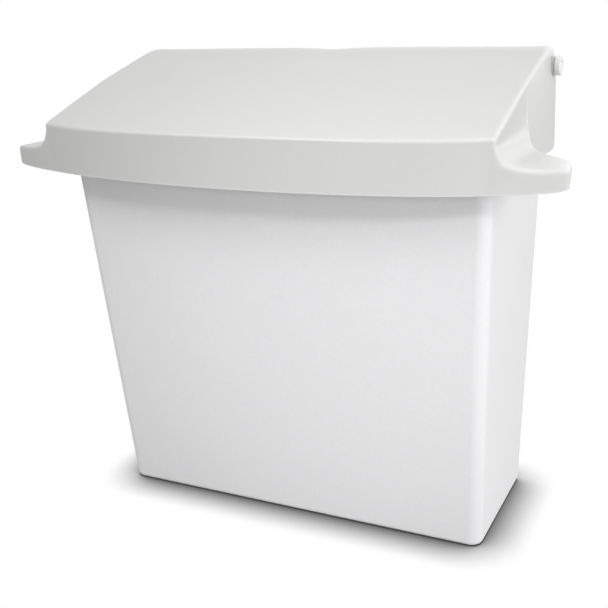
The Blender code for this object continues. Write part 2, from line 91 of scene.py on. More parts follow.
# hinge
ROLL_R, ROLL_HALF = 0.0120, 0.118
BOSS_R = 0.0052
NECK_R, NECK_ANGLE = 0.0108, -66
PIN_R, PIN_HOLE_R, PIN_HEAD_R, PIN_HEAD_T = 0.0025, 0.0028, 0.0053, 0.0031
PIN_HEAD_X, PIN_END = 0.1322, 0.1190
LID_BOSS_X, LID_BOSS_OUTER_X = 0.1263, 0.1290
COLLAR_X, COLLAR_R = 0.1319, 0.0050
BUMPER_X, BUMPER_Y, BUMPER_TOP = 0.1120, -0.1110, 0.2382
SEAT_R, SEAT_H = 0.0045, 0.0023  # the bumper's seat, which ends inside the hood's thickness
MOULDED_EDGE = 0.0005            # the chamfer on the pin bosses and the bumper seats

# liner
LINER_T = 0.0016
LINER_BASE_Z, LINER_TOP = 0.0031, 0.2240

# mounting
HOLE_X, HOLE_ZS, HOLE_R = 0.095, (0.045, 0.205), 0.0024
TAPE_HALF, TAPE_H, TAPE_ZS = 0.075, 0.022, {"upper": 0.190, "lower": 0.060}
RECESS, RECESS_GAP = 0.0012, 0.001
FILM_TAB_HALF, FILM_TAB_REACH = 0.006, 0.010

# camera
CAMERA_ANGLES = (26.295, 18.123, -2.126)         # azimuth, elevation and roll, degrees
CAMERA_TARGET = (-0.00437, -0.055, 0.12057)      # measured from the back of the body
CAMERA_DISTANCE = 0.592
LENS, SENSOR, LENS_SHIFT = 57.408, 36, (-0.0012, 0.00235)

# studio
MIDDLE = (0.0, 0.0, 0.15)
FLOOR_SIZE, FLOOR_WHITE = 6.0, 0.6
FLOOR_SHADE_REACH = 0.027                        # how near the bin has to be to darken the floor with a painted shadow
FLOOR_OPENNESS = (0.40, 0.98)                    # share of a place's surroundings that is open
FLOOR_BRIGHTNESS = (0.06, 1.0)                   # and how bright the camera sees it for that
ROOM_RIGHT_BACK_TOP = (0.35, 1.43, 1.15)         # brightness of the room in each direction
ROOM_LEFT_FRONT_BELOW = (0.0, 0.32, 0.0)
SOFTBOXES = (                                    # aim, azimuth, elevation, distance, width, height, watts
    ("key", MIDDLE, -25, 48, 0.7, 0.22, 0.22, 1.26),
    ("right_wall", MIDDLE, 90, 8, 1.0, 0.9, 0.8, 4.52),
)
SPOTS = (                                        # aim, azimuth, elevation, distance, angle, radius, watts
    ("front_low", (0.06, -0.08, 0.14), 20, 20, 0.8, 26, 0.06, 3.54),
    ("front_high", (0.08, -0.08, 0.14), 20, 40, 0.8, 34, 0.06, 7.0),
    ("front_right", (0.08, -0.08, 0.16), 35, 10, 0.8, 30, 0.06, 4.2),
    ("right_side", (0.131, 0.03, 0.245), 100, 5, 0.8, 11, 0.06, 5.5),
)
NO_GLINT = ("right_wall",)                       # its reflection would whiten the hood seen from the left

# materials
NOISE_LOW, NOISE_HIGH = 0.3, 0.7                 # most of a noise texture's values lie between these
PLASTIC_ROUGHNESS = 0.34                         # a smoother one left outlines on the curved parts
DRIFT_SCALE, DRIFT_REACH = 9.0, 0.006            # the moulded plastics: slow drift of tone,
FLECK_SCALE = 450.0                              # fine flecks,
POLISH_SCALE, POLISH_REACH = 40.0, 0.012         # patches of polish,
RUBBED_POLISH = 0.025                            # how much smoother a rubbed edge is,
GRAIN_SCALE, GRAIN_DEPTH = 1300.0, 0.00002       # and spark-eroded grain

cutters = []


# ---------------------------------------------------------------- mesh helpers
def face_outwards(bm):
    """Points the faces of a closed or open-topped shape away from its inside."""
    bmesh.ops.recalc_face_normals(bm, faces=bm.faces)
    lowest = min(bm.faces, key=lambda f: f.calc_center_median().z)
    if lowest.normal.z > 0.5:
        bmesh.ops.reverse_faces(bm, faces=bm.faces)


def add_object(name, bm, outwards=True):
    """Turns a bmesh into an object of the scene, in the design's coordinates."""
    if outwards:
        face_outwards(bm)
    mesh = bpy.data.meshes.new(name)
    bm.to_mesh(mesh)
    bm.free()
    obj = bpy.data.objects.new(name, mesh)
    bpy.context.scene.collection.objects.link(obj)
    return obj


def as_cutter(obj):
    cutters.append(obj)
    return obj


def boolean(obj, other, operation):
    mod = obj.modifiers.new(f"{operation.lower()}_{other.name}", "BOOLEAN")
    mod.operation = operation
    mod.solver = "EXACT"
    mod.object = other


def mark_edges(mesh):
    """Writes how sharply the outward edges turn at each point, 0 to 1, where the plastics smooth them and
    paint a highlight on them.
    """
    edge_highlight = mesh.attributes.new("edge_wear_and_highlight", "FLOAT", "POINT").data
    bm = bmesh.new()
    bm.from_mesh(mesh)
    for point in bm.verts:
        turn = 0.0
        for edge in point.link_edges:
            if len(edge.link_faces) == 2:
                a, b = (face.calc_center_median() for face in edge.link_faces)
                turn = max(turn, edge.calc_face_angle_signed(0.0) / max((a - b).length, 1e-6))
        edge_highlight[point.index].value = min(1.0, turn * WORN_AND_HIGHLIT_RADIUS)
    bm.free()


def settle(obj, mat, smooth_angle=35):
    """Applies an object's modifiers, puts it where the frame has it, sets its material and shading."""
    bpy.context.view_layer.update()
    depsgraph = bpy.context.evaluated_depsgraph_get()
    mesh = bpy.data.meshes.new_from_object(obj.evaluated_get(depsgraph))
    mesh.transform(PLACE @ obj.matrix_world)
    obj.modifiers.clear()
    obj.data = mesh
    obj.matrix_world = Matrix.Identity(4)
    mesh.name = obj.name
    mesh.materials.clear()
    mesh.materials.append(mat)
    mark_edges(mesh)
    mesh.shade_smooth()
    mesh.set_sharp_from_angle(angle=math.radians(smooth_angle))
    weighted = obj.modifiers.new("flat_faces_stay_flat", "WEIGHTED_NORMAL")
    weighted.keep_sharp = True


def fit_inside(obj, node):
    """Draws a piece in by the tenths of a millimetre that its finer surface stands out of its CAD node."""
    low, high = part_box(node)
    for axis in range(3):
        places = [point.co[axis] for point in obj.data.vertices]
        near, far = min(places), max(places)
        to_near, to_far = max(near, low[axis]), min(far, high[axis])
        share = (to_far - to_near) / (far - near)
        for point in obj.data.vertices:
            point.co[axis] = to_near + (point.co[axis] - near) * share


def soften_edges(obj, width=EDGE_R, angle=50, segments=3):
    bevel = obj.modifiers.new("soft_edges", "BEVEL")
    bevel.width = width
    bevel.segments = segments
    bevel.limit_method = "ANGLE"
    bevel.angle_limit = math.radians(angle)
    bevel.use_clamp_overlap = True


def cylinder(name, start, end, radius, segments=48):
    start, end = Vector(start), Vector(end)
    bm = bmesh.new()
    bmesh.ops.create_cone(bm, cap_ends=True, segments=segments, radius1=radius, radius2=radius,
                          depth=(end - start).length)
    turn = Vector((0, 0, 1)).rotation_difference(end - start).to_matrix().to_4x4()
    bmesh.ops.transform(bm, matrix=Matrix.Translation((start + end) / 2) @ turn, verts=bm.verts)
    return add_object(name, bm)


def block(name, low, high):
    bm = bmesh.new()
    bmesh.ops.create_cube(bm, size=1.0)
    low, high = Vector(low), Vector(high)
    for v in bm.verts:
        v.co = Vector(((v.co[i] + 0.5) * (high[i] - low[i]) + low[i]) for i in range(3))
    return add_object(name, bm)


def plate(name, outline, thickness, place):
    """A flat outline in local XY, thickened about its plane, as a closed mesh put in its place."""
    bm = bmesh.new()
    low = [bm.verts.new((x, y, -thickness / 2)) for x, y in outline]
    high = [bm.verts.new((x, y, thickness / 2)) for x, y in outline]
    bm.faces.new(low)
    bm.faces.new(high)
    for i in range(len(outline)):
        j = (i + 1) % len(outline)
        bm.faces.new((low[i], low[j], high[j], high[i]))
    bmesh.ops.recalc_face_normals(bm, faces=bm.faces)
    bmesh.ops.transform(bm, matrix=place, verts=bm.verts)
    return add_object(name, bm, outwards=False)


def turned(name, profile, place, ring=False):
    """A profile of (radius, height) points turned about local Z: down to the axis, or a closed loop."""
    bm = bmesh.new()
    verts = [bm.verts.new((r, 0.0, h)) for r, h in profile]
    for a, b in zip(verts, verts[1:] + verts[:1] if ring else verts[1:]):
        bm.edges.new((a, b))
    obj = add_object(name, bm, outwards=False)
    obj.matrix_world = place
    screw = obj.modifiers.new("turn", "SCREW")
    screw.axis = "Z"
    screw.steps = screw.render_steps = TURN_STEPS
    screw.use_merge_vertices = True
    screw.merge_threshold = MERGE
    screw.use_normal_calculate = True
    return obj


def arc(cx, cy, radius, start, end, count):
    """Points on an arc, angles in degrees."""
    angles = [math.radians(start + (end - start) * i / (count - 1)) for i in range(count)]
    return [(cx + radius * math.cos(a), cy + radius * math.sin(a)) for a in angles]


def rounded_rectangle(half_w, half_h, radius):
    points = []
    for sx, sy, start in ((1, 1, 0), (-1, 1, 90), (-1, -1, 180), (1, -1, 270)):
        points += arc(sx * (half_w - radius), sy * (half_h - radius), radius, start, start + 90, 7)
    return points


# ---------------------------------------------------------------- surfaces that the pieces share
def bow(x):
    """y of the hood's front face: a shallow arc in plan."""
    return EAR_FRONT - BOW * (1 - abs(x / EAR_HALF) ** BOW_POWER)


def dip(x, y):
    """Depth of the shallow dip that runs out forwards from the middle of the back edge."""
    fade = min(max((y - DIP_FRONT_Y) / DIP_FADE, 0.0), 1.0)
    return DIP * max(0.0, 1 - abs(x) / DIP_HALF) ** 2 * fade


def top_z(x, y):
    """Height of the hood's top surface in front of the hinge: sloped, arched and lightly crowned."""
    front, back = bow(SIDE_HALF), AXIS_Y
    s = (y - front) / (back - front)
    crown = (CROWN_FRONT + (CROWN_BACK - CROWN_FRONT) * s) * (1 - (x / SIDE_HALF) ** 2)
    return CREST_Z + (BACK_Z - CREST_Z) * s + 4 * ARCH * s * (1 - s) + crown - dip(x, y)


def on_roll(degrees, radius=ROLL_R):
    """(y, z) at an angle about the hinge axis, 0 degrees towards the back."""
    a = math.radians(degrees)
    return AXIS_Y + radius * math.cos(a), AXIS_Z + radius * math.sin(a)


def skirt_z(x, y):
    """Height of the hood's bottom edge: lowest at the front middle, higher at the ears and the back."""
    t = min(abs(x) / EAR_HALF, 1.0)
    front = SKIRT_FRONT_Z + SKIRT_EAR_RISE * t * t
    s = min(max((y - bow(x)) / (SKIRT_BACK_Y - bow(x)), 0.0), 1.0)
    return front + (SKIRT_BACK_Z - front) * s * s * (3 - 2 * s)


def rim_z(y):
    """Height of the body's sloping rim, a fixed drop under the hood's ceiling."""
    front, back = (top_z(SIDE_HALF, v) - LID_T - RIM_DROP for v in (RIM_FRONT_Y, RIM_BACK_Y))
    return front + (back - front) * (y - RIM_FRONT_Y) / (RIM_BACK_Y - RIM_FRONT_Y)


# ---------------------------------------------------------------- body
def tray(name, half_x, front, back, z_low, z_high, radii, segments):
    """An open-topped tapered tray; half_x and front are (at z_low, at z_high), radii front, back, floor."""
    bm = bmesh.new()
    bmesh.ops.create_cube(bm, size=2.0)
    for v in bm.verts:
        level = 1 if v.co.z > 0 else 0
        x = math.copysign(half_x[level], v.co.x)
        y = back if v.co.y > 0 else front[level]
        v.co = (x, y, z_high if level else z_low)
    bm.faces.ensure_lookup_table()
    top = max(bm.faces, key=lambda f: f.calc_center_median().z)
    bmesh.ops.delete(bm, geom=[top], context="FACES_ONLY")
    front_r, back_r, floor_r = radii
    for radius, at_back in ((front_r, False), (back_r, True)):
        uprights = [e for e in bm.edges if abs(e.verts[0].co.z - e.verts[1].co.z) > 0.01
                    and e.is_manifold and (min(v.co.y for v in e.verts) > back - 1e-6) == at_back
                    and e.calc_face_angle() > math.radians(60)]
        bmesh.ops.bevel(bm, geom=uprights, offset=radius, segments=segments, profile=0.5, affect="EDGES")
    floor_edges = [e for e in bm.edges if all(abs(v.co.z - z_low) < 1e-6 for v in e.verts)]
    bmesh.ops.bevel(bm, geom=floor_edges, offset=floor_r, segments=segments // 2, profile=0.5,
                    affect="EDGES")
    return add_object(name, bm)


def rim_cutter():
    """Everything above the body's rim, seen from the side, with the hinge boss left standing."""
    behind, ahead, above, neck_y, wider_than_body = 0.006, -0.140, 0.290, -0.0053, 0.30
    outline = [(behind, BACK_WALL_TOP), (neck_y, BACK_WALL_TOP), on_roll(NECK_ANGLE, NECK_R)]
    outline += arc(AXIS_Y, AXIS_Z, BOSS_R, NECK_ANGLE, BOSS_END, 33)
    outline += [(RIM_BACK_Y, rim_z(RIM_BACK_Y)), (ahead, rim_z(ahead)), (ahead, above), (behind, above)]
    place = Matrix(((0, 0, 1, 0), (1, 0, 0, 0), (0, 1, 0, 0), (0, 0, 0, 1)))
    return as_cutter(plate("rim_cutter", outline, wider_than_body, place))


def make_body(mat):
    slope = (REF_HALF_X - BASE_HALF_X) / REF_Z
    lean = (REF_FRONT - BASE_FRONT) / REF_Z
    body = tray("receptacle_body", (BASE_HALF_X, BASE_HALF_X + slope * BODY_TOP),
                (BASE_FRONT, BASE_FRONT + lean * BODY_TOP), 0.0, 0.0, BODY_TOP,
                (FRONT_R, BACK_R, FLOOR_R), 12)
    shell = body.modifiers.new("shell", "SOLIDIFY")
    shell.thickness = WALL
    shell.offset = -1
    shell.use_even_offset = True
    boolean(body, rim_cutter(), "DIFFERENCE")
    wall_x = BASE_HALF_X + slope * AXIS_Z
    boss_from, boss_to = wall_x - WALL - 0.002, wall_x - 0.001
    hole_from, hole_to = 0.11, 0.135
    for label, side in SIDES:
        boss = cylinder(f"boss_{label}", (side * boss_from, AXIS_Y, AXIS_Z),
                        (side * boss_to, AXIS_Y, AXIS_Z), BOSS_R - 0.0003)
        boolean(body, as_cutter(boss), "UNION")
        hole = cylinder(f"body_pin_hole_{label}", (side * hole_from, AXIS_Y, AXIS_Z),
                        (side * hole_to, AXIS_Y, AXIS_Z), PIN_HOLE_R, 32)
        boolean(body, as_cutter(hole), "DIFFERENCE")
    for label, z in TAPE_ZS.items():
        recess = block(f"tape_recess_{label}",
                       (-TAPE_HALF - RECESS_GAP, -RECESS, z - TAPE_H / 2 - RECESS_GAP),
                       (TAPE_HALF + RECESS_GAP, 0.002, z + TAPE_H / 2 + RECESS_GAP))
        boolean(body, as_cutter(recess), "DIFFERENCE")
    for z in HOLE_ZS:
        for side in (-1, 1):
            hole = cylinder(f"screw_hole_{side}_{z}", (side * HOLE_X, -0.01, z), (side * HOLE_X, 0.01, z),
                            HOLE_R, 32)
            boolean(body, as_cutter(hole), "DIFFERENCE")
    soften_edges(body)
    settle(body, mat)
    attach(body, "body")
    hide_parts("body")


# ---------------------------------------------------------------- liner
def make_liner(mat):
    base_half, base_front = 0.1105, -0.0842
    top_half, top_front, back = 0.1140, -0.1040, -0.0068
    lip_out, lip_down = 0.0018, -0.0050
    tab_half, tab_in, tab_r, tab_root, tab_t, tab_y = 0.018, 0.012, 0.006, 0.003, 0.0018, -0.060
    liner = tray("lift_out_liner", (base_half, top_half), (base_front, top_front), back, LINER_BASE_Z,
                 LINER_TOP, (0.006, 0.004, 0.003), 10)
    bm = bmesh.new()
    bm.from_mesh(liner.data)
    lip = [e for e in bm.edges if e.is_boundary]
    centre_y = (top_front + back) / 2
    for outward, down in ((lip_out, 0.0), (0.0, lip_down)):
        grown = bmesh.ops.extrude_edge_only(bm, edges=lip)
        lip = [g for g in grown["geom"] if isinstance(g, bmesh.types.BMEdge)]
        for v in {v for e in lip for v in e.verts}:
            v.co += Vector((math.copysign(outward, v.co.x),
                            math.copysign(outward, v.co.y - centre_y), down))
        lip = [e for e in lip if e.is_boundary]
    face_outwards(bm)
    bm.to_mesh(liner.data)
    bm.free()
    shell = liner.modifiers.new("shell", "SOLIDIFY")
    shell.thickness = LINER_T
    shell.offset = -1
    for label, side in SIDES:
        outline = [(-tab_half, -tab_root), (tab_half, -tab_root)]
        outline += arc(tab_in, tab_r, tab_r, 0, 90, 11) + arc(-tab_in, tab_r, tab_r, 90, 180, 11)
        x = side * (top_half - tab_t / 2)
        place = Matrix(((0, 0, 1, x), (1, 0, 0, tab_y), (0, 1, 0, LINER_TOP), (0, 0, 0, 1)))
        boolean(liner, as_cutter(plate(f"lift_tab_{label}", outline, tab_t, place)), "UNION")
    soften_edges(liner, 0.0003)
    settle(liner, mat)
    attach(liner, "liner")
    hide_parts("liner")


# ---------------------------------------------------------------- hood
# The hood is a cage of points, by column (middle to side), row (front to back) and level (bottom to top).
COLUMNS = (0.0, 0.010, 0.026, 0.060, 0.095, ROLL_HALF)
ROLL_COL, RIM_COL, SIDE_COL, EAR_COLS = 5, 6, 7, (8, 9, 10)
AT_BOTTOM, AT_EAR_EDGE, AT_EAR_TOP, AT_COVE, AT_PANEL, AT_RIM, AT_TOP = range(7)
FRONT_ROWS, EAR_BACK_ROW, LAST_ROW = (0, 1), 3, 8
ROLL_ANGLES = {LAST_ROW: 58, LAST_ROW + 1: 5, LAST_ROW + 2: -48}     # degrees about the hinge
FRONT_ROW_GAP, EAR_ROW_GAP = 0.0033, 0.0035
INNER_ROW_YS = (-0.0985, -0.0700, -0.0560, -0.0440)  # rows 2 to 5 between the ears
OUTER_ROW_YS = (-0.0685, -0.0645)                    # rows 4 and 5 at the sides
BACK_ROW_YS = (-0.0310, -0.0150)                     # rows 6 and 7
BACK_RIMS = {LAST_ROW: (0.0058, 0.0090), LAST_ROW - 1: (0.0048, 0.0075)}
FOLD_SHARES = {EAR_BACK_ROW + 1: 0.0, EAR_BACK_ROW + 2: 0.2, EAR_BACK_ROW + 3: 0.6}
COVE_TOP_BEHIND = 0.2360                             # the cove's level behind the ear
COVE_FOOT = (0.0030, 0.0026)                         # outward and upward, where it meets the ear
LEDGE = (0.0003, 0.0010, 0.0022, 0.0022)             # reach of the ledge over each row of the cove
PANEL_BELOW_RIM, PANEL_OVER_COVE, LEAST_GAP = 0.0025, 0.0014, 0.0010
EAR_ROOT_X, EAR_TIP_OVER, EAR_TIP_LEAN, EAR_TIP_EDGE = 0.1440, 0.0012, 0.0052, 0.0048
EAR_BACK_Y, EAR_SWEEP = -0.0690, 0.76
EAR_EDGE_DROP, EAR_BACK_RISE = 0.0032, 0.0006
EAR_CORNER_BACK, EAR_END_IN = 0.0028, 0.0008         # how far the ear's end is drawn back and in
EAR_END_UP = {AT_BOTTOM: 0.0013, AT_EAR_TOP: -0.0009}


def rim_size(row):
    """Inward and downward reach of the rounding along the upper edges, larger at the back corners."""
    return BACK_RIMS.get(row, (RIM_R, RIM_R))


def side_x(y, z, step):
    """x of the hood's side wall: narrower towards the top, a little wider to the back, plus any step."""
    s = (y - EAR_FRONT) / (AXIS_Y - EAR_FRONT)
    lean = DRAFT * (BODY_TOP - z) * DRAFT_SHARE
    return SIDE_HALF + (SIDE_HALF_BACK - SIDE_HALF) * s - SIDE_INSET + lean + step


def step_share(row, level):
    """How much of the side panel's step a cage point has: the fold leans backwards up to the rim."""
    if row <= EAR_BACK_ROW or level >= AT_RIM:
        return 0.0
    return FOLD_SHARES.get(row, 1.0) if level == AT_PANEL else 1.0


def ear_x(column, row):
    """x of the ear's columns; its end leans inwards to the back, square to the bowed front."""
    tip = EAR_HALF + EAR_TIP_OVER - EAR_TIP_LEAN * row / EAR_BACK_ROW
    return dict(zip(EAR_COLS, (EAR_ROOT_X, tip - EAR_TIP_EDGE, tip)))[column]


def ear_back(x):
    """y of the ear's swept back edge."""
    return EAR_BACK_Y - EAR_SWEEP * max(0.0, x - SIDE_HALF)


def row_y(row, x):
    """y of a row of the cage at a column: the rows turn from the bowed front to straight lines."""
    front, back = bow(x), ear_back(x)
    if abs(x) <= ROLL_HALF:
        middle = INNER_ROW_YS
    else:
        middle = (back - EAR_ROW_GAP, back) + OUTER_ROW_YS
    return ((front, front + FRONT_ROW_GAP) + middle + BACK_ROW_YS)[row]


def lid_point(column, row, level):
    """Position of a cage point of the hood, for x >= 0."""
    if column > SIDE_COL:
        at_end = column == EAR_COLS[-1]
        x = ear_x(column, row)
        y = row_y(row, x) + (EAR_CORNER_BACK if row in FRONT_ROWS and at_end else 0.0)
        z = (skirt_z(x, y), EAR_TOP - EAR_EDGE_DROP, EAR_TOP + EAR_BACK_RISE * row / EAR_BACK_ROW)[level]
        if at_end and level in EAR_END_UP:
            x, z = x - EAR_END_IN, z + EAR_END_UP[level]
        return x, y, z
    x = COLUMNS[column] if column < RIM_COL else SIDE_HALF
    if row >= LAST_ROW:
        y, z = on_roll(ROLL_ANGLES[row])
        if row > LAST_ROW:
            return x, y, z
        z -= dip(x, y)
    else:
        y = row_y(row, x)
        z = top_z(x, y) + (BACK_FULLNESS if row == LAST_ROW - 1 else 0.0)
    rim_in, rim_down = rim_size(row)
    top = z
    if column == RIM_COL:
        x = side_x(y, top, 0.0) - rim_in
    if level < AT_TOP:
        bottom = skirt_z(x, y)
        cove = COVE_TOP if row <= EAR_BACK_ROW else COVE_TOP_BEHIND
        rim_low = top - rim_down
        if row > EAR_BACK_ROW or row in FRONT_ROWS:
            panel = max(rim_low - PANEL_BELOW_RIM, cove + LEAST_GAP)
        else:
            panel = cove + PANEL_OVER_COVE
        rim = max(rim_low, panel + LEAST_GAP)
        z = (bottom, EAR_TOP - EAR_EDGE_DROP, EAR_TOP, cove, panel, rim)[level]
    if column == SIDE_COL:
        x = side_x(y, z, PANEL_STEP * step_share(row, level))
        if row <= EAR_BACK_ROW and level == AT_EAR_TOP:
            x, z = x + COVE_FOOT[0], z + COVE_FOOT[1]
        if row <= EAR_BACK_ROW and level == AT_COVE:
            x += LEDGE[row]
    return x, y, z


def lid_faces():
    """Faces of the hood's skin as four (column, row, level) corners: open below and at the back."""
    faces = []

    def quad(*corners):
        faces.append(corners)

    for a in range(SIDE_COL):
        for b in range(LAST_ROW if a >= ROLL_COL else LAST_ROW + 2):
            quad((a, b, AT_TOP), (a + 1, b, AT_TOP), (a + 1, b + 1, AT_TOP), (a, b + 1, AT_TOP))
        for c in range(AT_TOP):
            quad((a, 0, c), (a + 1, 0, c), (a + 1, 0, c + 1), (a, 0, c + 1))
    for b in range(LAST_ROW):
        for c in range(AT_TOP):
            if b >= EAR_BACK_ROW or c >= AT_EAR_TOP:
                quad((SIDE_COL, b, c), (SIDE_COL, b + 1, c), (SIDE_COL, b + 1, c + 1),
                     (SIDE_COL, b, c + 1))
    for a in range(SIDE_COL, EAR_COLS[-1]):
        for c in range(AT_EAR_TOP):
            quad((a, 0, c), (a + 1, 0, c), (a + 1, 0, c + 1), (a, 0, c + 1))
            quad((a, EAR_BACK_ROW, c), (a, EAR_BACK_ROW, c + 1), (a + 1, EAR_BACK_ROW, c + 1),
                 (a + 1, EAR_BACK_ROW, c))
        for b in range(EAR_BACK_ROW):
            quad((a, b, AT_EAR_TOP), (a + 1, b, AT_EAR_TOP), (a + 1, b + 1, AT_EAR_TOP),
                 (a, b + 1, AT_EAR_TOP))
    end = EAR_COLS[-1]
    for b in range(EAR_BACK_ROW):
        for c in range(AT_EAR_TOP):
            quad((end, b, c), (end, b + 1, c), (end, b + 1, c + 1), (end, b, c + 1))
    return faces


def make_hood(mat):
    bm = bmesh.new()
    points = {}
    for corners in lid_faces():
        for key in corners:
            if key not in points:
                points[key] = bm.verts.new(lid_point(*key))
        bm.faces.new([points[key] for key in corners])
    bmesh.ops.recalc_face_normals(bm, faces=bm.faces)
    hood = add_object("hood_shell", bm, outwards=False)
    mirror = hood.modifiers.new("both_halves", "MIRROR")
    mirror.use_clip = True
    mirror.merge_threshold = MERGE
    soft = hood.modifiers.new("soft_form", "SUBSURF")
    soft.levels = soft.render_levels = 3
    shell = hood.modifiers.new("shell", "SOLIDIFY")
    shell.thickness = LID_T
    shell.offset = -1
    soften_edges(hood, EDGE_R, 60, 2)
    settle(hood, mat, 60)
    fit_inside(hood, "lid")
    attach(hood, "lid")
    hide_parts("lid")
    for label, side in SIDES:
        boss = turned(f"hood_pin_boss_{label}", pin_boss_profile(), hinge_place(side), ring=True)
        settle(boss, mat)
        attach(boss, "lid")
        seat = turned(f"hood_bumper_seat_{label}", bumper_seat_profile(),
                      Matrix.Translation((side * BUMPER_X, BUMPER_Y, 0)))
        settle(seat, mat)
        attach(seat, "lid")


def pin_boss_profile():
    """The ring round the pin, thick inside the hood's side wall and a low collar outside it."""
    edge = MOULDED_EDGE
    return [(COLLAR_R - edge, COLLAR_X), (COLLAR_R, COLLAR_X - edge), (COLLAR_R, LID_BOSS_OUTER_X),
            (BOSS_R, LID_BOSS_OUTER_X), (BOSS_R, LID_BOSS_X + edge), (BOSS_R - edge, LID_BOSS_X),
            (PIN_HOLE_R + edge, LID_BOSS_X), (PIN_HOLE_R, LID_BOSS_X + edge), (PIN_HOLE_R, COLLAR_X)]


def bumper_seat_profile():
    edge = MOULDED_EDGE
    return [(0.0, BUMPER_TOP + SEAT_H), (SEAT_R, BUMPER_TOP + SEAT_H), (SEAT_R, BUMPER_TOP + edge),
            (SEAT_R - edge, BUMPER_TOP), (0.0, BUMPER_TOP)]


def hinge_place(side):
    """Turns local Z outwards along the hinge axis on one side."""
    return Matrix(((0, 0, side, 0), (0, side, 0, AXIS_Y), (-1, 0, 0, AXIS_Z), (0, 0, 0, 1)))


# ---------------------------------------------------------------- small pieces
def rounded_profile_corner(r, h, size, start, end):
    """Points of a small rounding on a turned profile, its centre at (r, h)."""
    return arc(r, h, size, start, end, 6)


def make_pins(mat):
    """Round head with a shallow dimple outside, plain shank through hood and body, chamfered end."""
    head, end, edge, under = PIN_HEAD_X + PIN_HEAD_T, PIN_END, 0.0007, 0.0002
    dimple = ((0.0, 0.0008), (0.0019, 0.0008), (0.0023, 0.0006), (0.0027, 0.0001), (0.0031, 0.0))
    profile = [(r, head - depth) for r, depth in dimple]
    profile += rounded_profile_corner(PIN_HEAD_R - edge, head - edge, edge, 90, 0)
    profile += [(PIN_HEAD_R, PIN_HEAD_X + under), (PIN_HEAD_R - under, PIN_HEAD_X), (PIN_R, PIN_HEAD_X),
                (PIN_R, end + 0.0008), (PIN_R - edge, end), (0.0, end)]
    for label, side in SIDES:
        pin = turned(f"moulded_pin_{label}", profile, hinge_place(side))
        settle(pin, mat)
        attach(pin, "body")
        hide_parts(f"hinge_pin_{label}")


def make_clips(mat):
    """Push-on retaining washer, dished, on the inner end of each hinge pin."""
    inner, outer, z, t = PIN_R + 0.0003, 0.0050, 0.1196, 0.0006
    flange, dish = 0.001, 0.0002
    profile = [(outer, z + t), (outer, z), (outer - flange, z - dish), (inner, z - dish),
               (inner, z + t - dish), (outer - flange, z + t - dish)]
    for label, side in SIDES:
        clip = turned(f"spring_clip_{label}", profile, hinge_place(side), ring=True)
        settle(clip, mat, 20)
        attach(clip, "body")
        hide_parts(f"hinge_clip_{label}")


def make_bumpers(mat):
    """Soft pad with a rounded rim under each front corner of the hood."""
    top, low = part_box("lid_bumper_left")[1].z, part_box("lid_bumper_left")[0].z
    r, edge, flat = 0.0042, 0.0007, 0.0015
    profile = [(0.0, top), (r, top)] + rounded_profile_corner(r - edge, low + edge, edge, 0, -90)
    profile += [(flat, low), (0.0, low)]
    for label, side in SIDES:
        pad = turned(f"rubber_pad_{label}", profile, Matrix.Translation((side * BUMPER_X, BUMPER_Y, 0)))
        settle(pad, mat)
        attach(pad, "lid")
        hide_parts(f"lid_bumper_{label}")


def make_tapes(foam, paper):
    """Foam mounting strips in the back's two recesses, each with a release film and its pull tab."""
    upright = Matrix(((1, 0, 0, 0), (0, 0, -1, 0), (0, 1, 0, 0), (0, 0, 0, 1)))
    for label, z in TAPE_ZS.items():
        low, high = (corner.y - BACK_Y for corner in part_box(f"tape_{label}"))
        strip = plate(f"foam_strip_{label}", rounded_rectangle(TAPE_HALF, TAPE_H / 2, 0.002),
                      high - low, Matrix.Translation((0, (low + high) / 2, z)) @ upright)
        soften_edges(strip, 0.0002)
        settle(strip, foam)
        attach(strip, "body")
        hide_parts(f"tape_{label}")
        low, high = (corner.y - BACK_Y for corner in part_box(f"tape_film_{label}"))
        outline = [(TAPE_HALF, -TAPE_H / 2), (TAPE_HALF, -FILM_TAB_HALF)]
        outline += arc(TAPE_HALF + FILM_TAB_REACH, 0.0, FILM_TAB_HALF, -90, 90, 19)
        outline += [(TAPE_HALF, FILM_TAB_HALF), (TAPE_HALF, TAPE_H / 2), (-TAPE_HALF, TAPE_H / 2),
                    (-TAPE_HALF, -TAPE_H / 2)]
        film = plate(f"release_film_{label}", outline, high - low,
                     Matrix.Translation((0, (low + high) / 2, z)) @ upright)
        settle(film, paper)
        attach(film, "body")
        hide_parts(f"tape_film_{label}")


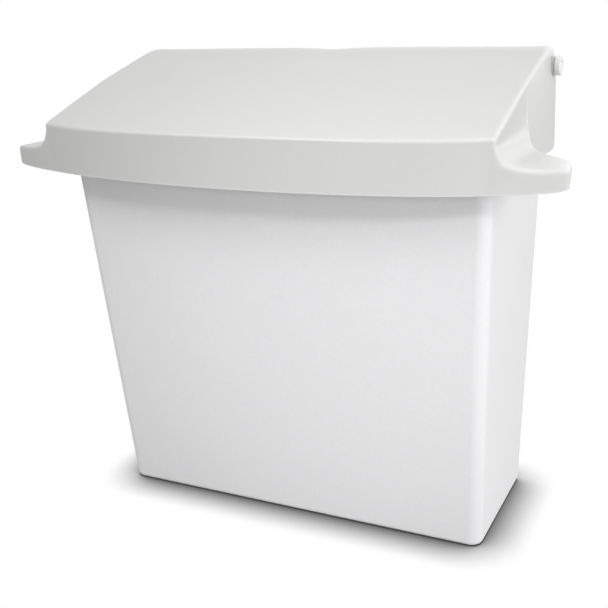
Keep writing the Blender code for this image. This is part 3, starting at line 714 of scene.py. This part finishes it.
# ---------------------------------------------------------------- materials
class Finish:
    """A material's node tree, with short ways to add and join nodes in object coordinates."""

    def __init__(self, name, roughness=0.5, metallic=0.0, specular=0.5):
        self.mat = bpy.data.materials.new(name)
        self.mat.use_nodes = True
        self.tree = self.mat.node_tree
        self.bsdf = self.tree.nodes["Principled BSDF"]
        self.bsdf.inputs["Roughness"].default_value = roughness
        self.bsdf.inputs["Metallic"].default_value = metallic
        self.bsdf.inputs["Specular IOR Level"].default_value = specular
        self.coords = self.tree.nodes.new("ShaderNodeTexCoord").outputs["Object"]

    def node(self, kind, inputs=None, **settings):
        node = self.tree.nodes.new(kind)
        for key, value in settings.items():
            setattr(node, key, value)
        for key, value in (inputs or {}).items():
            if isinstance(value, bpy.types.NodeSocket):
                self.tree.links.new(value, node.inputs[key])
            else:
                node.inputs[key].default_value = value
        return node

    def noise(self, scale, detail, rough=0.5, vector=None):
        inputs = {"Scale": scale, "Detail": detail, "Roughness": rough, "Vector": vector or self.coords}
        return self.node("ShaderNodeTexNoise", inputs).outputs["Fac"]

    def stretch(self, factors):
        """Object coordinates scaled unevenly, for grain that runs one way."""
        return self.node("ShaderNodeVectorMath", {0: self.coords, 1: factors},
                         operation="MULTIPLY").outputs[0]

    def remap(self, value, low, high, to_low, to_high):
        inputs = {"Value": value, "From Min": low, "From Max": high, "To Min": to_low, "To Max": to_high}
        return self.node("ShaderNodeMapRange", inputs).outputs[0]

    def spread(self, noise, to_low, to_high):
        """The usual range of a noise stretched to the range wanted, and cut off at its ends."""
        return self.remap(noise, NOISE_LOW, NOISE_HIGH, to_low, to_high)

    def sway(self, scale, detail, reach):
        """Noise about zero, mostly within plus or minus reach, but not cut off there into flat patches."""
        inputs = {0: self.noise(scale, detail), 1: 4.0 * reach, 2: -2.0 * reach}
        return self.node("ShaderNodeMath", inputs, operation="MULTIPLY_ADD").outputs[0]

    def maths(self, operation, a, b):
        return self.node("ShaderNodeMath", {0: a, 1: b}, operation=operation).outputs[0]

    def tint(self, colour, value):
        """The colour times a number that varies over the surface, joined to the shader's base colour."""
        grey = self.node("ShaderNodeCombineXYZ", {"X": value, "Y": value, "Z": value}).outputs[0]
        tone = self.node("ShaderNodeVectorMath", {0: grey, 1: colour}, operation="MULTIPLY").outputs[0]
        self.tree.links.new(tone, self.bsdf.inputs["Base Color"])

    def bump(self, height, distance):
        inputs = {"Height": height, "Distance": distance, "Strength": 1.0}
        return self.node("ShaderNodeBump", inputs).outputs["Normal"]

    def worn_and_highlit_edges(self):
        """The mesh's own record of its sharply curved places, written by mark_edges."""
        return self.node("ShaderNodeAttribute", attribute_name="edge_wear_and_highlight").outputs["Fac"]

    def join(self, socket, name):
        self.tree.links.new(socket, self.bsdf.inputs[name])


def moulded_plastic(name, colour, grain=1.0, speckle=0.014, edge_highlight=0.04):
    """Moulded ABS: faint drift of tone, spark-eroded grain, polish that varies, edges smoother and painted
    lighter as a highlight.
    """
    f = Finish(name)
    drift = f.sway(DRIFT_SCALE, 1.0, DRIFT_REACH)
    fleck = f.sway(FLECK_SCALE, 1.0, speckle)
    rubbed_and_highlit = f.worn_and_highlit_edges()
    tone = f.maths("ADD", 1.0, f.maths("ADD", drift, fleck))
    # painted highlight: sharply turned edges lighter in tone, besides the rubbed polish below
    tone = f.maths("ADD", tone, f.maths("MULTIPLY", rubbed_and_highlit, edge_highlight))
    f.tint(colour, tone)
    polish = f.sway(POLISH_SCALE, 1.0, POLISH_REACH)
    rough = f.maths("ADD", polish, PLASTIC_ROUGHNESS)
    rough = f.maths("SUBTRACT", rough, f.maths("MULTIPLY", rubbed_and_highlit, RUBBED_POLISH))
    f.join(rough, "Roughness")
    f.join(f.bump(f.noise(GRAIN_SCALE, 3.0, 0.65), GRAIN_DEPTH * grain), "Normal")
    return f.mat


def polypropylene(name, colour, roughness):
    """The liner's satin surface, with long faint draw marks up its walls."""
    f = Finish(name)
    drift = f.spread(f.noise(14.0, 3.0), 0.985, 1.015)
    f.tint(colour, drift)
    marks = f.noise(1.0, 3.0, 0.6, f.stretch((700.0, 700.0, 14.0)))
    f.join(f.spread(marks, roughness - 0.06, roughness + 0.06), "Roughness")
    f.join(f.bump(marks, 0.00003), "Normal")
    return f.mat


def nylon(name, colour):
    """Natural nylon of the pins: warm, a little mottled, with turned-looking flow lines."""
    f = Finish(name)
    mottle = f.spread(f.noise(260.0, 4.0), 0.97, 1.03)
    f.tint(colour, mottle)
    f.join(f.spread(f.noise(500.0, 3.0), 0.32, 0.44), "Roughness")
    f.join(f.bump(f.noise(1800.0, 3.0), 0.00002), "Normal")
    return f.mat


def spring_steel(name, colour):
    f = Finish(name, metallic=1.0)
    f.tint(colour, f.spread(f.noise(600.0, 4.0), 0.88, 1.08))
    lines = f.noise(1.0, 3.0, 0.6, f.stretch((300.0, 5200.0, 900.0)))
    f.join(f.spread(lines, 0.22, 0.42), "Roughness")
    f.join(f.bump(lines, 0.00001), "Normal")
    return f.mat


def rubber(name, colour):
    f = Finish(name, roughness=0.8, specular=0.35)
    f.tint(colour, f.spread(f.noise(700.0, 5.0, 0.7), 0.85, 1.2))
    f.join(f.bump(f.noise(2600.0, 4.0, 0.7), 0.00004), "Normal")
    return f.mat


def foam_sheet(name, colour):
    """Closed-cell foam: a field of tiny round cells, cut through at the surface."""
    f = Finish(name, roughness=0.9, specular=0.2)
    cells = f.node("ShaderNodeTexVoronoi", {"Scale": 2400.0, "Vector": f.coords}).outputs["Distance"]
    f.tint(colour, f.remap(cells, 0.0, 0.7, 1.04, 0.90))
    f.join(f.bump(f.maths("SUBTRACT", 1.0, cells), 0.00012), "Normal")
    return f.mat


def waxed_paper(name, colour):
    """The release film: crossing paper fibres under a thin wax."""
    f = Finish(name)
    one = f.noise(1.0, 4.0, 0.7, f.stretch((180.0, 900.0, 1500.0)))
    other = f.noise(1.0, 4.0, 0.7, f.stretch((1500.0, 900.0, 180.0)))
    fibres = f.maths("MULTIPLY", f.maths("ADD", one, other), 0.5)
    f.tint(colour, f.remap(fibres, 0.35, 0.65, 0.93, 1.05))
    f.join(f.remap(fibres, 0.35, 0.65, 0.5, 0.68), "Roughness")
    f.join(f.bump(fibres, 0.00004), "Normal")
    return f.mat


# ---------------------------------------------------------------- studio
def make_camera():
    """The view from the front right, a little above, with the head tilted by two degrees."""
    azimuth, elevation, roll = (math.radians(v) for v in CAMERA_ANGLES)
    back = Vector((math.sin(azimuth) * math.cos(elevation), -math.cos(azimuth) * math.cos(elevation),
                   math.sin(elevation)))
    right = Vector((math.cos(azimuth), math.sin(azimuth), 0))
    up = back.cross(right)
    tilted_right = right * math.cos(roll) + up * math.sin(roll)
    tilted_up = up * math.cos(roll) - right * math.sin(roll)
    target = PLACE @ Vector(CAMERA_TARGET)
    data = bpy.data.cameras.new("camera")
    data.lens = LENS
    data.sensor_width = SENSOR
    data.shift_x, data.shift_y = LENS_SHIFT
    data.clip_start = 0.01
    camera = bpy.data.objects.new("camera", data)
    bpy.context.scene.collection.objects.link(camera)
    turn = Matrix((tilted_right, tilted_up, back)).transposed().to_4x4()
    camera.matrix_world = Matrix.Translation(target + back * CAMERA_DISTANCE) @ turn
    bpy.context.scene.camera = camera


def hang_lamp(data, place, aim):
    """Puts a light in the scene, turned to face a point."""
    lamp = bpy.data.objects.new(data.name, data)
    lamp.location = place
    lamp.rotation_euler = (Vector(aim) - Vector(place)).to_track_quat("-Z", "Y").to_euler()
    bpy.context.scene.collection.objects.link(lamp)
    return lamp


def softbox(name, place, aim, width, height, power):
    data = bpy.data.lights.new(name, "AREA")
    data.shape = "RECTANGLE"
    data.size, data.size_y = width, height
    data.energy = power
    lamp = hang_lamp(data, place, aim)
    lamp.visible_camera = False
    lamp.visible_glossy = name not in NO_GLINT


def spot(name, place, aim, angle, radius, power):
    data = bpy.data.lights.new(name, "SPOT")
    data.energy = power
    data.spot_size = math.radians(angle)
    data.spot_blend = 1.0
    data.shadow_soft_size = radius
    hang_lamp(data, place, aim)


def round_about(aim, azimuth, elevation, distance):
    """The place at an azimuth (0 in front, 90 on the right), elevation and distance from a point."""
    a, e = math.radians(azimuth), math.radians(elevation)
    away = Vector((math.sin(a) * math.cos(e), -math.cos(a) * math.cos(e), math.sin(e)))
    return Vector(aim) + away * distance


def make_floor():
    """A white sweep: to the camera it glows plain white, with a painted shadow drawn from ambient
    occlusion, darker only close round the bin.
    """
    bm = bmesh.new()
    bmesh.ops.create_grid(bm, x_segments=1, y_segments=1, size=FLOOR_SIZE)
    floor = add_object("studio_floor", bm, outwards=False)
    paper = bpy.data.materials.new("studio_white")
    paper.use_nodes = True
    tree = paper.node_tree
    bsdf = tree.nodes["Principled BSDF"]
    bsdf.inputs["Base Color"].default_value = (FLOOR_WHITE, FLOOR_WHITE, FLOOR_WHITE, 1.0)
    bsdf.inputs["Roughness"].default_value = 1.0
    bsdf.inputs["Specular IOR Level"].default_value = 0.0
    shade = tree.nodes.new("ShaderNodeAmbientOcclusion")
    shade.samples = 32
    shade.inputs["Distance"].default_value = FLOOR_SHADE_REACH
    fade = tree.nodes.new("ShaderNodeMapRange")
    fade.inputs["From Min"].default_value, fade.inputs["From Max"].default_value = FLOOR_OPENNESS
    fade.inputs["To Min"].default_value, fade.inputs["To Max"].default_value = FLOOR_BRIGHTNESS
    glow = tree.nodes.new("ShaderNodeEmission")
    seen = tree.nodes.new("ShaderNodeLightPath")
    mix = tree.nodes.new("ShaderNodeMixShader")
    # painted shadow: the glow the camera sees dims with the ambient occlusion near the bin
    tree.links.new(shade.outputs["AO"], fade.inputs["Value"])
    tree.links.new(fade.outputs[0], glow.inputs["Strength"])
    tree.links.new(seen.outputs["Is Camera Ray"], mix.inputs[0])
    tree.links.new(bsdf.outputs[0], mix.inputs[1])
    tree.links.new(glow.outputs[0], mix.inputs[2])
    tree.links.new(mix.outputs[0], tree.nodes["Material Output"].inputs["Surface"])
    floor.data.materials.append(paper)


def make_surround():
    """Soft light from the room: its strength from each side, and plain white behind the bin."""
    world = bpy.data.worlds.new("studio_surround")
    bpy.context.scene.world = world
    world.use_nodes = True
    tree = world.node_tree
    background = tree.nodes["Background"]
    direction = tree.nodes.new("ShaderNodeTexCoord").outputs["Generated"]
    strengths = []
    for sign, sides in ((1.0, ROOM_RIGHT_BACK_TOP), (-1.0, ROOM_LEFT_FRONT_BELOW)):
        part = direction
        for operation, value in (("SCALE", sign), ("MAXIMUM", (0.0, 0.0, 0.0)), ("MULTIPLY", None),
                                 ("DOT_PRODUCT", sides)):
            node = tree.nodes.new("ShaderNodeVectorMath")
            node.operation = operation
            tree.links.new(part, node.inputs[0])
            if operation == "SCALE":
                node.inputs["Scale"].default_value = value
            elif operation == "MULTIPLY":
                tree.links.new(part, node.inputs[1])
            else:
                node.inputs[1].default_value = value
            part = node.outputs["Value" if operation == "DOT_PRODUCT" else "Vector"]
        strengths.append(part)
    total = tree.nodes.new("ShaderNodeMath")
    total.operation = "ADD"
    seen = tree.nodes.new("ShaderNodeLightPath")
    choose = tree.nodes.new("ShaderNodeMix")
    for i, part in enumerate(strengths):
        tree.links.new(part, total.inputs[i])
    tree.links.new(seen.outputs["Is Camera Ray"], choose.inputs["Factor"])
    tree.links.new(total.outputs[0], choose.inputs["A"])
    choose.inputs["B"].default_value = 1.0
    tree.links.new(choose.outputs["Result"], background.inputs["Strength"])
    background.inputs["Color"].default_value = (1.0, 1.0, 1.0, 1.0)


def make_studio():
    make_floor()
    make_surround()
    for name, aim, azimuth, elevation, distance, width, height, power in SOFTBOXES:
        softbox(name, round_about(aim, azimuth, elevation, distance), aim, width, height, power)
    for name, aim, azimuth, elevation, distance, angle, radius, power in SPOTS:
        spot(name, round_about(aim, azimuth, elevation, distance), aim, angle, radius, power)
    bpy.context.scene.view_settings.view_transform = "Standard"


def main():
    make_camera()
    body_white = moulded_plastic("body_abs", (0.74, 0.74, 0.75))
    # painted shade: the hood's white is much darker than the body's, a little for its own moulding, the
    # rest for the dimmer light on its top and skirt
    hood_white_and_painted_shade = moulded_plastic("hood_abs_and_painted_shade", (0.555, 0.555, 0.550), grain=0.6, speckle=0.008, edge_highlight=0.09)
    make_body(body_white)
    make_hood(hood_white_and_painted_shade)
    make_liner(polypropylene("liner_pp", (0.70, 0.71, 0.71), 0.45))
    make_pins(nylon("pin_nylon", (0.72, 0.72, 0.71)))
    make_clips(spring_steel("clip_steel", (0.55, 0.55, 0.56)))
    make_bumpers(rubber("bumper_rubber", (0.06, 0.06, 0.065)))
    make_tapes(foam_sheet("tape_foam", (0.80, 0.80, 0.79)),
               waxed_paper("film_paper", (0.72, 0.60, 0.30)))
    for cutter in cutters:
        bpy.data.objects.remove(cutter, do_unlink=True)
    make_studio()


main()
